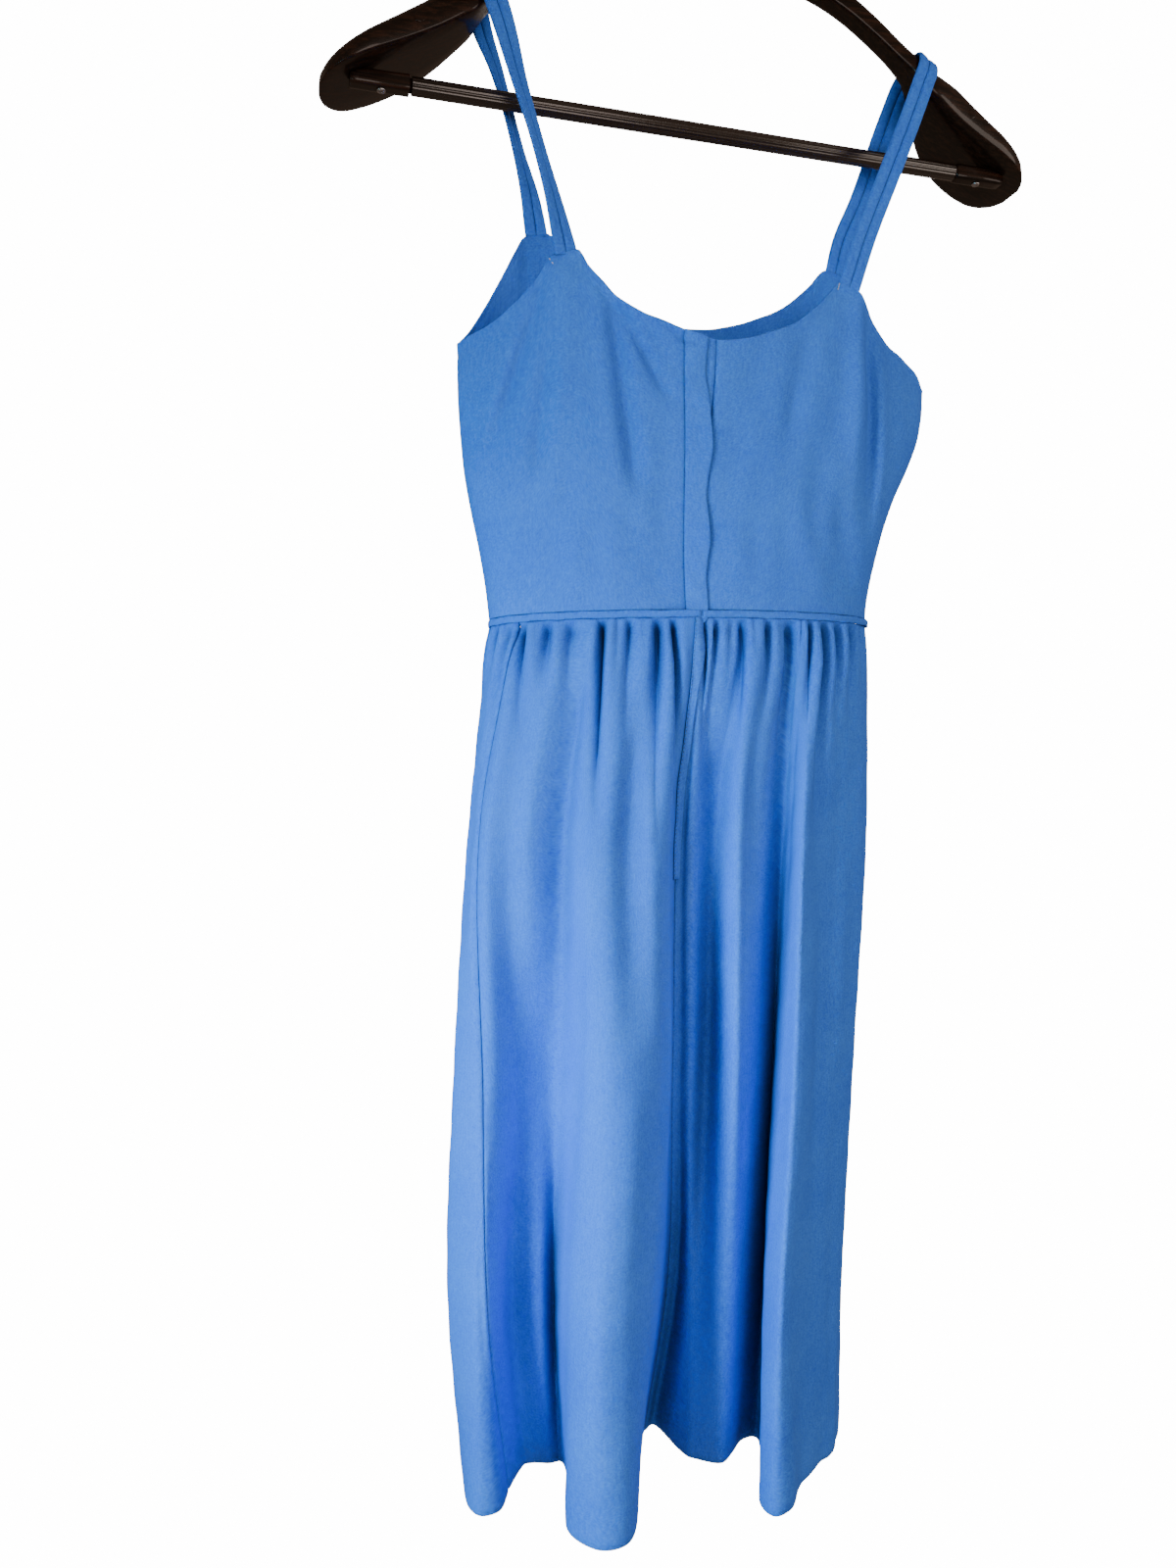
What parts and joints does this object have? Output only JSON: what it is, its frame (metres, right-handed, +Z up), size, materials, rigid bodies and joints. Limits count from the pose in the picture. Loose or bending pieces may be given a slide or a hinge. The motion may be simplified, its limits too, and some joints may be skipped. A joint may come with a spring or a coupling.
{
  "type": "cami dress on a wooden hanger",
  "caption": "Sleeveless cami dress with double tube straps, lapped back zip, piped waist and gathered skirt, hung on a contoured wooden hanger with a trouser bar.",
  "frame": {"origin": "inside top of the hanger's hook, where it hangs on a rail", "axes": "+Z up along the hanging dress, +X to the right of the picture's view, +Y away from the zip side, towards the front of the dress"},
  "size_m": [0.46, 0.1621, 1.0347],
  "materials": {
    "cloth": "matte cornflower blue crepe",
    "wood": "dark red-brown lacquer",
    "bar_wood": "dark red-brown lacquer",
    "grip": "clear dark ribbed sleeve",
    "steel": "satin",
    "chrome": "polished"
  },
  "bodies": {
    "root": {"bodice_front": "cloth", "bodice_back_left": "cloth", "bodice_back_right": "cloth", "zip_lap_bodice": "cloth", "zip_lap_skirt": "cloth", "waist_piping": "cloth", "skirt_front": "cloth", "skirt_back_left": "cloth", "skirt_back_right": "cloth", "strap_left_a": "cloth", "strap_left_b": "cloth", "strap_right_a": "cloth", "strap_right_b": "cloth", "hanger_body": "wood", "trouser_bar": "bar_wood", "bar_grip": "grip", "bar_screw_left": "steel", "bar_screw_right": "steel", "hanger_hook": "chrome", "hook_collar": "chrome"}
  },
  "joints": []
}
